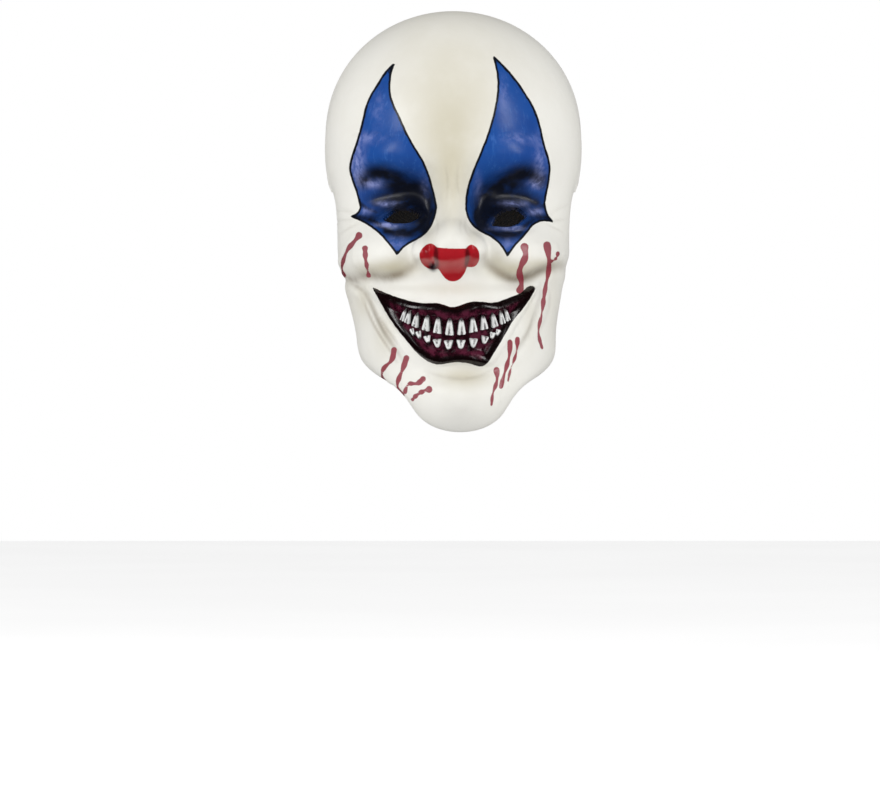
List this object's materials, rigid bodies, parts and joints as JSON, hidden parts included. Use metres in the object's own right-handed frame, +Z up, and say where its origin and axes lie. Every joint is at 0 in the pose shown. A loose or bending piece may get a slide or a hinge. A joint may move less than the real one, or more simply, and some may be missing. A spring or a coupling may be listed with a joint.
{
  "type": "clown mask",
  "caption": "Moulded latex clown mask for face and crown, with eye holes, raised grin and nose, and an elastic band behind the head.",
  "frame": {"origin": "inner top of the crown, where the mask sits on a head", "axes": "+Z up, the face looks along -Y, +X to the right of someone who faces the mask"},
  "size_m": [0.161, 0.2321, 0.2628],
  "materials": {
    "painted_latex": "satin off-white painted latex",
    "woven_elastic": "matte woven ribs",
    "plain_latex": "bare cream latex"
  },
  "bodies": {
    "root": {"mask_skin": "painted_latex", "head_elastic": "woven_elastic", "elastic_patch_left": "plain_latex", "elastic_patch_right": "plain_latex"}
  },
  "joints": []
}
